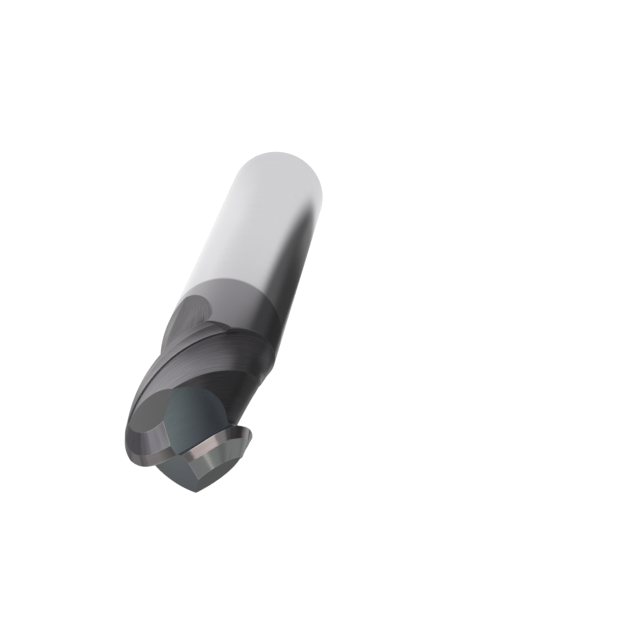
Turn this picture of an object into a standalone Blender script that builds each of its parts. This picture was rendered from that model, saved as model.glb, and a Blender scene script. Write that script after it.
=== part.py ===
"""Ball end mill, 6 mm, two flutes, solid carbide, modelled the way it is ground.

A turned blank (shank, cutting diameter and ball) is cut by the passes of a tool grinder:
two helical flutes that run out of the blank, two relief lands behind each cutting edge, a
flat clearance facet on the back of each tooth and an end gash in front of each ball edge.
Each pass is one cutter; the second tooth uses the same cutter turned half way round.

The tool stands on its shank end: origin at the centre of that face, +Z up to the ball.
Sizes are in millimetres and degrees, and become metres when a mesh is made.  Angles about
the tool axis start where the first tooth's edge leaves the ball, and the teeth cut towards
growing angles.
"""
import math

import bmesh
import bpy
from mathutils import Matrix, Vector

MM = 0.001

# Blank
CUT_DIAMETER = 6.0       # over the teeth, and across the ball
SHANK_DIAMETER = 6.0
OVERALL = 50.0           # shank end to the tip of the ball
END_CHAMFER = 0.4        # round the shank end
SHOULDER_DEG = 30.0      # taper from the cutting diameter to a shank of another size

# Teeth and their cutting edges
TEETH = 2
HELIX_DEG = 30.0         # right-hand helix at the cutting diameter
EDGE_LENGTH = 11.55      # sharpened length, from the tip
EDGE_DIRECTION = 25.0    # plan direction of the first ball edge as it leaves the axis
EDGE_AHEAD = 0.035       # the ball edges pass this far ahead of the axis
EDGE_BOW = 0.80          # a ball edge has bowed back by this much at the cutting radius
BOW_POWER = 5.0          # how late along the edge the bow comes
CORNER_DEG = 55.0        # angle from the tip where gash edge and flute edge meet

# Relief lands, measured square to the edge
FIRST_WIDTH_BALL = 0.60
FIRST_WIDTH_SIDE = 0.50
FIRST_DEG = 12.0
SECOND_DEG_BALL = 28.0
SECOND_DEG_SIDE = 21.0
SECOND_REACH = 1.9       # the second land's pass carries on this far behind the edge
RAMP_LENGTH = 1.5        # below the edge the wheel leaves the lands over this length
RAMP_LIFT = 0.25         # and this much outwards

# Flute section: angles behind the edge of the tooth in front, radii as shares of the cutting radius
HEEL_DEG = 27.0          # heel of the tooth in front, where the flute begins
HEEL_SHARE = 0.975       # the flute leaves the second land here
STEP_DEG = 7.0           # width of the short step under the heel
STEP_SHARE = 0.910       # foot of that step
STEP_TURN = (0.4, 0.01)  # the step's corner: its share of the width, and how far over the foot
BACK_SHARE = 0.862       # broad back of the tooth, at its lowest
CREST_DEG = 95.0         # crest between the back pass and the main flute
CREST_SHARE = 0.875
ROOT_DEG = 166.0         # root of the flute, under the rake face
ROOT_SHARE = 0.71
SAG_SKEW = 0.8           # below 1, back and flute face are lowest nearer to the heel
FILLET_SHARE = 0.20      # height of the fillet from root to rake face
FILLET_END = 0.96        # share of the way from the root to the edge where the fillet ends
RAKE_SHARE = 0.95        # the rake face is straight from here out to the edge
OPEN_SHARE = 1.15        # the section's two ends lie outside the blank
OPEN_DEG = 0.4           # its first point lies this far before the heel
ROUND_SHARE = 1.7        # and the cutter closes round the blank at this radius

# Flute run-out
FLUTE_LENGTH = 11.55     # full depth to here, from the tip
RUNOUT_LENGTH = 6.6      # then the wheel leaves the blank over this length
RUNOUT_DEG = 68.0        # the last cut lies this far behind the edge of the tooth in front
RAKE_CLOSING = (0.77, 1.25, 0.30)   # how the flute's rake side closes in: share, power, round share
HEEL_CLOSING = (0.97, 1.5)          # how its heel side closes in: share, power
CLOSED = 0.97            # the two sides never meet
LIFTED = 1.03            # at its end the wheel is this far out, as a share of its depth
HOLLOW_SHARE = 0.22      # depth of the shallow hollow that the wheel leaves
HOLLOW_SKEW = 1.2        # above 1, the hollow is deepest nearer to the rake side
HOLLOW_POWER = 0.8       # below 1, its sides are steeper and its floor flatter
HOLLOW_OVER = 0.45       # the section has become the hollow after this share of the run-out
BACK_EARLY = 0.3         # the back pass starts to leave this far before the flute does
BACK_OVER = 4.0          # takes this long over it
BACK_LEFT = 0.55         # and keeps this share of its depth
BACK_REACH_DEG = 40.0    # the change dies out this far past the crest

# Clearance facet on the back of the ball
FACET_DIRECTION = 306.0  # plan direction that the first tooth's facet faces
FACET_TILT = 62.8        # between the tool axis and the facet's normal
FACET_OFFSET = 2.49      # from the centre of the ball

# End gash, its floor measured from the tip
GASH_PAST = 0.10         # the gash cuts this far past the axis
GASH_FALL = 1.25         # fall of the floor along the edge, mm per mm
GASH_SIDE_FALL = 0.32    # fall of the floor away from the edge, mm per mm
GASH_RAKE_DEG = 14.0     # the face under the ball edge runs back by this angle
GASH_FILLET = 0.16       # between that face and the floor
GASH_REACH = (-0.25, 1.2)   # the gash runs between these, along the edge, in cutting radii
GASH_WIDE = 1.5          # and this wide, in cutting radii

# Fineness of the facets
TURN_FACETS = 96
SEAM_DEG = 1.3           # turns the blank's facets so that no corner lies on a cutting edge
BALL_FACETS = 20
EDGE_STEP_DEG = 4.5      # along a ball edge
LEAD_STEPS = 4           # the relief pass starts this many steps before the tip
SPAN_STEPS = 2.0         # the edge's direction is taken over this many steps each way
PITCH = 0.24             # along the side edge
FLUTE_PITCH = 0.45       # along the flute
RUNOUT_PITCH = 0.36      # along its run-out
SMOOTH_DEG = 7.0         # flatter corners than this are shaded smooth

CUT_R = CUT_DIAMETER / 2.0
SHANK_R = SHANK_DIAMETER / 2.0
BALL_Z = OVERALL - CUT_R
SPACING = 360.0 / TEETH
TWIST = math.degrees(math.tan(math.radians(HELIX_DEG)) / CUT_R)   # degrees for each mm of height
CLEAR = 0.6              # cutters start and end this far outside the blank
OVERLAP_DEG = 3.0        # the flute's cutter laps past the two sides of its section by this much


def polar(radius, degrees, z):
    """Point at a radius and an angle about the tool axis."""
    angle = math.radians(degrees)
    return Vector((radius * math.cos(angle), radius * math.sin(angle), z))


def blend(start, end, share):
    """Smooth change from start to end as share goes from 0 to 1."""
    share = min(max(share, 0.0), 1.0)
    return start + (end - start) * share * share * (3.0 - 2.0 * share)


def even(start, end, count):
    """Evenly spaced values, both ends included."""
    return [start + (end - start) * i / count for i in range(count + 1)]


def new_collection(name):
    made = bpy.data.collections.new(name)
    bpy.context.scene.collection.children.link(made)
    return made


def coated_carbide():
    """Dark grey nitride coating on ground carbide."""
    material = bpy.data.materials.new("coated_carbide")
    material.use_nodes = True
    shader = material.node_tree.nodes["Principled BSDF"]
    shader.inputs["Base Color"].default_value = (0.15, 0.15, 0.16, 1.0)
    shader.inputs["Metallic"].default_value = 1.0
    shader.inputs["Roughness"].default_value = 0.3
    return material


def turned_blank(home):
    """Ball, cutting diameter and shank as one turned profile."""
    outline = [(CUT_R * math.sin(a), BALL_Z + CUT_R * math.cos(a))
               for a in even(0.0, math.pi / 2.0, BALL_FACETS)]
    if SHANK_R != CUT_R:
        shoulder = OVERALL - FLUTE_LENGTH - RUNOUT_LENGTH - CLEAR
        taper = abs(SHANK_R - CUT_R) / math.tan(math.radians(SHOULDER_DEG))
        outline += [(CUT_R, shoulder), (SHANK_R, shoulder - taper)]
    outline += [(SHANK_R, END_CHAMFER), (SHANK_R - END_CHAMFER, 0.0), (0.0, 0.0)]
    mesh = bpy.data.meshes.new("end_mill")
    mesh.from_pydata([polar(r, SEAM_DEG, z) * MM for r, z in outline],
                     [(i, i + 1) for i in range(len(outline) - 1)], [])
    blank = bpy.data.objects.new("end_mill", mesh)
    home.objects.link(blank)
    turn = blank.modifiers.new("turn", "SCREW")
    turn.steps = turn.render_steps = TURN_FACETS
    turn.use_merge_vertices = True
    turn.merge_threshold = 0.000001
    return blank


def as_cutter(name, bm, home):
    """Cutter object from a closed bmesh, shown as wire and left out of renders."""
    bmesh.ops.triangulate(bm, faces=bm.faces[:])
    bmesh.ops.recalc_face_normals(bm, faces=bm.faces[:])
    mesh = bpy.data.meshes.new(name)
    bm.to_mesh(mesh)
    bm.free()
    cutter = bpy.data.objects.new(name, mesh)
    cutter.display_type = "WIRE"
    cutter.hide_render = True
    home.objects.link(cutter)
    return cutter


def loft(name, sections, home):
    """Closed cutter through sections of equally many points, capped at both ends."""
    bm = bmesh.new()
    rings = [[bm.verts.new(point * MM) for point in section] for section in sections]
    count = len(rings[0])
    for ring, following in zip(rings, rings[1:]):
        for i in range(count):
            j = (i + 1) % count
            bm.faces.new((ring[i], ring[j], following[j], following[i]))
    bm.faces.new(rings[0])
    bm.faces.new(rings[-1])
    return as_cutter(name, bm, home)


def side_angle(z):
    """Angle of the first tooth's side edge at a height."""
    return (z - BALL_Z) * TWIST


def bow(out):
    """Distance of a ball edge ahead of the axis, at a distance out along it."""
    return EDGE_AHEAD - EDGE_BOW * (max(out, 0.0) / CUT_R) ** BOW_POWER


def in_plan(out, ahead, z):
    """Point given along and ahead of the first ball edge's plan direction."""
    angle = math.radians(EDGE_DIRECTION)
    return Vector((out * math.cos(angle) - ahead * math.sin(angle),
                   out * math.sin(angle) + ahead * math.cos(angle), z))


def ball_edge(from_tip):
    """Point on the first ball edge at an angle in degrees from the tip."""
    out = CUT_R * math.sin(math.radians(from_tip))
    if from_tip > CORNER_DEG:
        z = BALL_Z + CUT_R * math.cos(math.radians(from_tip))
        return polar(out, side_angle(z), z)
    point = in_plan(out, bow(out), 0.0)
    point.z = BALL_Z + math.sqrt(CUT_R ** 2 - point.x ** 2 - point.y ** 2)
    return point


def edge_point(place):
    """Point on the whole first edge: up to 90 an angle from the tip, then mm below the ball."""
    if place <= 90.0:
        return ball_edge(place)
    z = BALL_Z - (place - 90.0)
    return polar(CUT_R, side_angle(z), z)


def relief_cutter(home):
    """First and second land in one pass: a section square to the edge, carried along it."""
    last = 90.0 + EDGE_LENGTH - CUT_R
    start = -LEAD_STEPS * EDGE_STEP_DEG
    places = even(start, 90.0, round((90.0 - start) / EDGE_STEP_DEG))
    places += even(90.0, last, round((last - 90.0) / PITCH))[1:]
    sections = []
    for place in places:
        here = edge_point(place)
        span = SPAN_STEPS * EDGE_STEP_DEG if place < 90.0 else PITCH
        along = (edge_point(min(place + span, last)) - edge_point(place - span)).normalized()
        outward = (here - Vector((0.0, 0.0, min(BALL_Z, here.z)))).normalized()
        back = along.cross(outward).normalized()
        on_side = (place - CORNER_DEG) / (90.0 - CORNER_DEG)
        width = blend(FIRST_WIDTH_BALL, FIRST_WIDTH_SIDE, on_side)
        first = math.tan(math.radians(FIRST_DEG))
        second = math.tan(math.radians(blend(SECOND_DEG_BALL, SECOND_DEG_SIDE, on_side)))
        front = here - back * CLEAR + outward * CLEAR * first
        step = here + back * width - outward * width * first
        rest = SECOND_REACH - width
        end = step + back * rest - outward * rest * second
        sections.append([front + outward * 0.5 * CUT_R, front, here, step, end, end + outward * CUT_R])
    leave = along * RAMP_LENGTH + outward * RAMP_LIFT
    sections.append([point + leave for point in sections[-1]])
    return loft("relief_pass", sections, home)


def flute_section():
    """Flute from heel to edge, as (angle behind the edge in front, share of the radius)."""
    foot = HEEL_DEG + STEP_DEG
    corner, over = STEP_TURN
    points = [(HEEL_DEG - OPEN_DEG, OPEN_SHARE), (HEEL_DEG, HEEL_SHARE),
              (HEEL_DEG + corner * STEP_DEG, STEP_SHARE + over)]
    sag = 0.5 * (STEP_SHARE + CREST_SHARE) - BACK_SHARE
    for t in even(0.0, 1.0, 8):
        points.append((foot + (CREST_DEG - foot) * t,
                       STEP_SHARE + (CREST_SHARE - STEP_SHARE) * t - sag * math.sin(math.pi * t ** SAG_SKEW)))
    for t in even(0.0, 1.0, 10)[1:]:
        points.append((CREST_DEG + (ROOT_DEG - CREST_DEG) * t,
                       CREST_SHARE + (ROOT_SHARE - CREST_SHARE) * t ** SAG_SKEW))
    for turn in even(0.0, math.pi / 2.0, 6)[1:-1]:
        points.append((ROOT_DEG + (SPACING - ROOT_DEG) * FILLET_END * math.sin(turn),
                       ROOT_SHARE + FILLET_SHARE * (1.0 - math.cos(turn))))
    return points + [(SPACING, RAKE_SHARE), (SPACING, OPEN_SHARE)]


def sides(below):
    """The flute's heel side and rake side at a depth below its full part, in degrees."""
    t = min(max(below / RUNOUT_LENGTH, 0.0), 1.0)
    share, power, curved = RAKE_CLOSING
    rake = min(share * t ** power + curved * (1.0 - math.sqrt(1.0 - t * t)), CLOSED)
    share, power = HEEL_CLOSING
    return HEEL_DEG + (RUNOUT_DEG - HEEL_DEG) * share * t ** power, SPACING + (RUNOUT_DEG - SPACING) * rake


def sunk(angle, share, below):
    """Share of the radius that a point of the section has at a depth below the full flute.

    The wheel leaves the blank in a shallow hollow, and the back pass leaves it first.
    """
    if share > 1.0:
        return share
    t = min(max(below / RUNOUT_LENGTH, 0.0), 1.0)
    across = min(max((angle - HEEL_DEG) / (SPACING - HEEL_DEG), 0.0), 1.0)
    hollow = HOLLOW_SHARE * math.sin(math.pi * across ** HOLLOW_SKEW) ** HOLLOW_POWER
    depth = blend(1.0 - share, hollow, t / HOLLOW_OVER)
    on_back = blend(1.0, 0.0, (angle - CREST_DEG) / BACK_REACH_DEG)
    left = blend(1.0, BACK_LEFT, (below + BACK_EARLY) / BACK_OVER)
    return 1.0 - depth * (1.0 - LIFTED * t * t) * (1.0 - on_back * (1.0 - left))


def flute_cutter(home):
    """The flute section carried down the helix, then narrowed and lifted out of the blank."""
    section = flute_section()
    section += [(a, ROUND_SHARE) for a in even(SPACING + OVERLAP_DEG, HEEL_DEG - OVERLAP_DEG, 10)]
    top = OVERALL + CLEAR
    full = OVERALL - FLUTE_LENGTH
    heights = even(top, full, round((top - full) / FLUTE_PITCH))
    heights += even(full, full - RUNOUT_LENGTH, round(RUNOUT_LENGTH / RUNOUT_PITCH))[1:]
    sections = []
    for z in heights:
        low, high = sides(full - z)
        ring = []
        for angle, share in section:
            behind = low + (angle - HEEL_DEG) / (SPACING - HEEL_DEG) * (high - low)
            ring.append(polar(CUT_R * sunk(angle, share, full - z), side_angle(z) - behind, z))
        sections.append(ring)
    return loft("flute_pass", sections, home)


def facet_cutter(home):
    """Clearance facet: a block that lies outside the facet's plane."""
    size = 2.6 * CUT_R
    tilt = Matrix.Rotation(math.radians(FACET_TILT), 4, "Y")
    turn = Matrix.Rotation(math.radians(FACET_DIRECTION), 4, "Z")
    lift = Matrix.Translation((0.0, 0.0, BALL_Z * MM))
    raised = Matrix.Translation((0.0, 0.0, (FACET_OFFSET + 0.5 * size) * MM))
    bm = bmesh.new()
    bmesh.ops.create_cube(bm, size=size * MM, matrix=lift @ turn @ tilt @ raised)
    return as_cutter("facet_pass", bm, home)


def gash_corner(drop):
    """Fillet between the gash's face and its floor, as (distance ahead of the edge, height).

    The face runs back under the edge and the floor falls away from it.  Heights are over the
    floor's line below the edge, which lies a drop under the edge.
    """
    lean, slope = math.radians(GASH_RAKE_DEG), math.atan(GASH_SIDE_FALL)
    ahead = GASH_FILLET / math.cos(lean) - (drop + GASH_FILLET / math.cos(slope)) * math.tan(lean)
    ahead /= 1.0 + math.tan(lean) * GASH_SIDE_FALL
    height = GASH_FILLET / math.cos(slope) - GASH_SIDE_FALL * ahead
    return [(ahead - GASH_FILLET * math.cos(turn), height - GASH_FILLET * math.sin(turn))
            for turn in even(-lean, math.pi / 2.0 - slope, 4)]


def gash_cutter(home):
    """End gash: an undercut rake face down from the ball edge, a fillet and a falling floor."""
    wide = GASH_WIDE * CUT_R
    above = OVERALL + CUT_R
    start, stop = GASH_REACH
    sections = []
    for out in even(start * CUT_R, stop * CUT_R, 24):
        floor = OVERALL - GASH_FALL * (out + GASH_PAST)
        edge = BALL_Z + math.sqrt(max(CUT_R ** 2 - out ** 2 - bow(out) ** 2, 0.0))
        profile = [((above - edge) * math.tan(math.radians(GASH_RAKE_DEG)), above)]
        profile += [(ahead, floor + height) for ahead, height in gash_corner(edge - floor)]
        profile += [(wide, floor - GASH_SIDE_FALL * wide), (wide, above)]
        sections.append([in_plan(out, bow(out) + ahead, z) for ahead, z in profile])
    return loft("gash_pass", sections, home)


def grind(mill, cutter, home):
    """Take one pass out of the mill for each tooth."""
    for tooth in range(TEETH):
        wheel = cutter
        if tooth:
            wheel = cutter.copy()
            wheel.name = "%s_%d" % (cutter.name, tooth + 1)
            wheel.rotation_euler.z = math.radians(SPACING * tooth)
            home.objects.link(wheel)
        cut = mill.modifiers.new(wheel.name, "BOOLEAN")
        cut.operation = "DIFFERENCE"
        cut.solver = "EXACT"
        cut.object = wheel


def fix_shape(mill):
    """Keep the ground shape as the mill's own mesh, smooth between its ground edges."""
    graph = bpy.context.evaluated_depsgraph_get()
    ground = bpy.data.meshes.new_from_object(mill.evaluated_get(graph))
    mill.modifiers.clear()
    mill.data = ground
    ground.name = "end_mill"
    ground.materials.clear()
    ground.materials.append(coated_carbide())
    ground.shade_smooth()
    ground.set_sharp_from_angle(angle=math.radians(SMOOTH_DEG))


def main():
    for old in list(bpy.data.objects):
        bpy.data.objects.remove(old, do_unlink=True)
    tool = new_collection("ball_end_mill")
    passes = new_collection("grinding_passes")
    mill = turned_blank(tool)
    for cutter in (flute_cutter(passes), relief_cutter(passes), facet_cutter(passes),
                   gash_cutter(passes)):
        grind(mill, cutter, passes)
    fix_shape(mill)


main()
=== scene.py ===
"""Ball end mill, 6 mm, two flutes, solid carbide: its looks, its studio and its camera.

The tool is made the way it is ground.  A turned blank is cut by the passes of a tool
grinder, each pass a cutter with its own finish, so every ground surface keeps the lines that
its wheel leaves.  The tool stands on its shank end, origin at the centre of that face.

Sizes are millimetres and degrees until a mesh is made.  Angles about the tool axis start
where the first tooth's edge leaves the ball.
"""
import logging
import math
from dataclasses import dataclass, field
from enum import Enum

import bmesh
import bpy
from mathutils import Matrix, Vector


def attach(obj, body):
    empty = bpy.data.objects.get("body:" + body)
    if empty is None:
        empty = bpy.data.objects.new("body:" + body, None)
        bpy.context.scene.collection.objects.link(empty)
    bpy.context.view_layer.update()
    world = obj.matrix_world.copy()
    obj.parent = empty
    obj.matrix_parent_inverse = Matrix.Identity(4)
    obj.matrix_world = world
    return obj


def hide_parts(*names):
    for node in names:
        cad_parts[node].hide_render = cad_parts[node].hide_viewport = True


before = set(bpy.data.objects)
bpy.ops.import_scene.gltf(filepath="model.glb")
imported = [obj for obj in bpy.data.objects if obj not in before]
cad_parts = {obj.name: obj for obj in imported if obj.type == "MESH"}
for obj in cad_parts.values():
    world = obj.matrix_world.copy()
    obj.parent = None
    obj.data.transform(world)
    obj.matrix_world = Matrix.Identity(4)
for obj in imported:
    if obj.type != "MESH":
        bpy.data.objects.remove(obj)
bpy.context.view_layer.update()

MM = 0.001
SAME_POINT = 1e-6         # points nearer than this many metres are one
EQUATOR = 90.0            # place on the cutting edge where the ball ends and the side begins
GRIND_MAP = "grind"       # UV map of ground surfaces: U along the wheel's travel, V across it, in mm

logging.basicConfig(level=logging.INFO, format="%(message)s")
log = logging.getLogger("ball_end_mill")


class Ground(Enum):
    """The surfaces of the tool, each the place of its finish in the mill's material slots."""

    BARE_SHANK = 0
    COATED_BODY = 1
    HEEL_STEP = 2
    FLUTE_BACK = 3
    FLUTE_FACE = 4
    FIRST_LAND = 5
    SECOND_LAND = 6
    LAND_END = 7
    FACET = 8
    GASH = 9


class Lines(Enum):
    """Which way the grinding lines run on a surface's map."""

    ALONG = "along the wheel's travel"
    ACROSS = "across the wheel's travel"


def linear(value: str) -> tuple[float, float, float, float]:
    """Turn an sRGB hex colour into the linear colour that Blender's sockets take.

    Args:
        value: Six hex digits.

    Returns:
        Linear red, green and blue, and a full alpha.
    """
    channels = []
    for place in (0, 2, 4):
        share = int(value[place:place + 2], 16) / 255.0
        channels.append(share / 12.92 if share <= 0.04045 else ((share + 0.055) / 1.055) ** 2.4)
    return (channels[0], channels[1], channels[2], 1.0)


def polar(radius: float, degrees: float, z: float) -> Vector:
    """Point at a radius and an angle about the tool axis, in millimetres."""
    angle = math.radians(degrees)
    return Vector((radius * math.cos(angle), radius * math.sin(angle), z))


def eased(start: float, end: float, share: float) -> float:
    """Smooth change from start to end as share goes from 0 to 1."""
    share = min(max(share, 0.0), 1.0)
    return start + (end - start) * share * share * (3.0 - 2.0 * share)


def even(start: float, end: float, count: int) -> list[float]:
    """Evenly spaced values, both ends included."""
    return [start + (end - start) * i / count for i in range(count + 1)]


def deselect_all() -> None:
    """Leave nothing selected, so that an operator acts on the new piece alone."""
    if bpy.context.mode != "OBJECT":
        bpy.ops.object.mode_set(mode="OBJECT")
    bpy.ops.object.select_all(action="DESELECT")


def edited(piece: bpy.types.Object) -> bmesh.types.BMesh:
    """The mesh of a piece that is in edit mode."""
    return bmesh.from_edit_mesh(piece.data)


def add_node(owner: bpy.types.ID, kind: str, settings: dict | None = None,
             **links: bpy.types.NodeSocket) -> bpy.types.Node:
    """Add one shader node.

    Args:
        owner: The material or world that the node tree belongs to.
        kind: Blender's name of the node type.
        settings: Properties of the node, and values of its sockets by name or place.
        links: Output sockets to connect, by the input's name with _ for each space, or by its
            place with an i before it.

    Returns:
        The new node.
    """
    tree = owner.node_tree
    node = tree.nodes.new(kind)
    for name, value in (settings or {}).items():
        if isinstance(name, str) and hasattr(node, name):
            setattr(node, name, value)
        else:
            node.inputs[name].default_value = value
    for name, output in links.items():
        place = int(name[1:]) if name[0] == "i" and name[1:].isdigit() else name.replace("_", " ")
        tree.links.new(output, node.inputs[place])
    return node


@dataclass
class Blank:
    """Carbide rod, turned and ground: shank, cutting diameter and ball."""

    radius: float = 2.999           # a hair inside the CAD model, as the length is
    overall: float = 49.992
    foot: float = 0.0005            # the end face clears the floor by this much
    end_chamfer: float = 0.4
    coated_from: float = 30.4       # height at which the coating starts
    helix_deg: float = 30.0
    facets: int = 192
    ball_rings: int = 40

    @property
    def ball_z(self) -> float:
        """Height of the ball's centre."""
        return self.overall - self.radius

    @property
    def twist(self) -> float:
        """Degrees that the helix turns for each millimetre of height."""
        return math.degrees(math.tan(math.radians(self.helix_deg)) / self.radius)

    def side_angle(self, z: float) -> float:
        """Angle of the first tooth's side edge at a height."""
        return (z - self.ball_z) * self.twist

    def build(self) -> bpy.types.Object:
        """Turn the blank: a quarter circle, drawn down to the shank end, spun about the axis.

        Returns:
            The blank, with its coated and its bare part and its map.
        """
        deselect_all()
        bpy.ops.mesh.primitive_circle_add(
            vertices=4 * self.ball_rings, radius=self.radius * MM,
            location=(0.0, 0.0, self.ball_z * MM), rotation=(math.pi / 2.0, 0.0, 0.0), calc_uvs=False)
        blank = bpy.context.object
        bpy.ops.object.transform_apply(location=True, rotation=True, scale=True)
        bpy.ops.object.mode_set(mode="EDIT")
        for corner, outside in (((0.0, 0.0, 0.0), (-1.0, 0.0, 0.0)),
                                ((0.0, 0.0, self.ball_z * MM), (0.0, 0.0, -1.0))):
            bpy.ops.mesh.select_all(action="SELECT")
            bpy.ops.mesh.bisect(plane_co=corner, plane_no=outside, clear_outer=True)
        self._draw_down(blank, Vector((0.0, 0.0, self.coated_from - self.ball_z)))
        self._draw_down(blank, Vector((0.0, 0.0, self.end_chamfer - self.coated_from)))
        self._draw_down(blank, Vector((-self.end_chamfer, 0.0, self.foot - self.end_chamfer)))
        self._draw_down(blank, Vector((self.end_chamfer - self.radius, 0.0, 0.0)))
        bpy.ops.mesh.select_all(action="SELECT")
        bpy.ops.mesh.spin(steps=self.facets, angle=2.0 * math.pi, use_auto_merge=True,
                          center=(0.0, 0.0, 0.0), axis=(0.0, 0.0, 1.0))
        bpy.ops.mesh.select_all(action="SELECT")
        bpy.ops.mesh.remove_doubles(threshold=SAME_POINT)
        bpy.ops.mesh.normals_make_consistent(inside=False)
        bpy.ops.object.mode_set(mode="OBJECT")
        self._map(blank)
        return blank

    def _draw_down(self, blank: bpy.types.Object, step: Vector) -> None:
        """Extrude the profile's last point.

        Args:
            blank: The blank, in edit mode.
            step: From that point to the new one, in millimetres.
        """
        shape = edited(blank)
        last = min(shape.verts, key=lambda v: (round(v.co.z, 7), v.co.x))
        bpy.ops.mesh.select_all(action="DESELECT")
        last.select_set(True)
        shape.select_flush_mode()
        bmesh.update_edit_mesh(blank.data)
        bpy.ops.mesh.extrude_region_move(TRANSFORM_OT_translate={"value": step * MM})

    def _map(self, blank: bpy.types.Object) -> None:
        """Map the blank as it is ground, round and round, and mark its bare part.

        Args:
            blank: The turned blank.
        """
        mesh = blank.data
        layer = mesh.uv_layers.new(name=GRIND_MAP)
        for face in mesh.polygons:
            middle = math.atan2(face.center.y, face.center.x)
            bare = face.center.z < self.coated_from * MM
            face.material_index = (Ground.BARE_SHANK if bare else Ground.COATED_BODY).value
            for loop in face.loop_indices:
                point = mesh.vertices[mesh.loops[loop].vertex_index].co
                angle = math.atan2(point.y, point.x) if point.xy.length > SAME_POINT else middle
                angle = middle + math.remainder(angle - middle, 2.0 * math.pi)
                layer.data[loop].uv = (angle * self.radius, point.z / MM)


@dataclass
class CuttingEdge:
    """The first tooth's edge: a bowed line over the ball, then the helix."""

    blank: Blank
    direction_deg: float = 25.0     # plan direction of the ball edge as it leaves the axis
    ahead: float = 0.035            # the ball edge passes this far ahead of the axis
    bow: float = 0.80               # and has bowed back by this much at the cutting radius
    bow_power: float = 5.0          # how late along the edge the bow comes
    corner_deg: float = 55.0        # angle from the tip where gash edge and flute edge meet
    length: float = 11.55           # sharpened length, from the tip

    @property
    def last(self) -> float:
        """The edge's last place."""
        return EQUATOR + self.length - self.blank.radius

    def bowed(self, out: float) -> float:
        """Distance of the ball edge ahead of the axis, at a distance out along it."""
        return self.ahead - self.bow * (max(out, 0.0) / self.blank.radius) ** self.bow_power

    def in_plan(self, out: float, ahead: float, z: float) -> Vector:
        """Point given along and ahead of the ball edge's plan direction."""
        angle = math.radians(self.direction_deg)
        return Vector((out * math.cos(angle) - ahead * math.sin(angle),
                       out * math.sin(angle) + ahead * math.cos(angle), z))

    def point(self, place: float) -> Vector:
        """Point on the edge.

        Args:
            place: Degrees from the tip, up to 90, and then millimetres below the ball on top of 90.

        Returns:
            The point, in millimetres.
        """
        blank = self.blank
        if place > EQUATOR:
            z = blank.ball_z - (place - EQUATOR)
            return polar(blank.radius, blank.side_angle(z), z)
        out = blank.radius * math.sin(math.radians(place))
        if place > self.corner_deg:
            z = blank.ball_z + blank.radius * math.cos(math.radians(place))
            return polar(out, blank.side_angle(z), z)
        point = self.in_plan(out, self.bowed(out), 0.0)
        point.z = blank.ball_z + math.sqrt(blank.radius ** 2 - point.x ** 2 - point.y ** 2)
        return point


@dataclass
class Station:
    """One section of a cutter, and how far along the wheel's travel it lies."""

    points: list[Vector]
    along: float


def refined(stations: list[Station], times: int) -> list[Station]:
    """Put more stations between the given ones, on a smooth curve through each point's path.

    Args:
        stations: The sections in order.
        times: How many steps each step becomes.

    Returns:
        The finer row, the given sections among them.
    """
    made = []
    for index in range(len(stations) - 1):
        four = [stations[min(max(index + i, 0), len(stations) - 1)] for i in (-1, 0, 1, 2)]
        for t in even(0.0, 1.0, times)[:-1]:
            weights = (-0.5 * t + t ** 2 - 0.5 * t ** 3, 1.0 - 2.5 * t ** 2 + 1.5 * t ** 3,
                       0.5 * t + 2.0 * t ** 2 - 1.5 * t ** 3, -0.5 * t ** 2 + 0.5 * t ** 3)
            points = [sum((w * s.points[i] for w, s in zip(weights, four)), Vector())
                      for i in range(len(four[0].points))]
            made.append(Station(points, sum(w * s.along for w, s in zip(weights, four))))
    return made + [stations[-1]]


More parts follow.
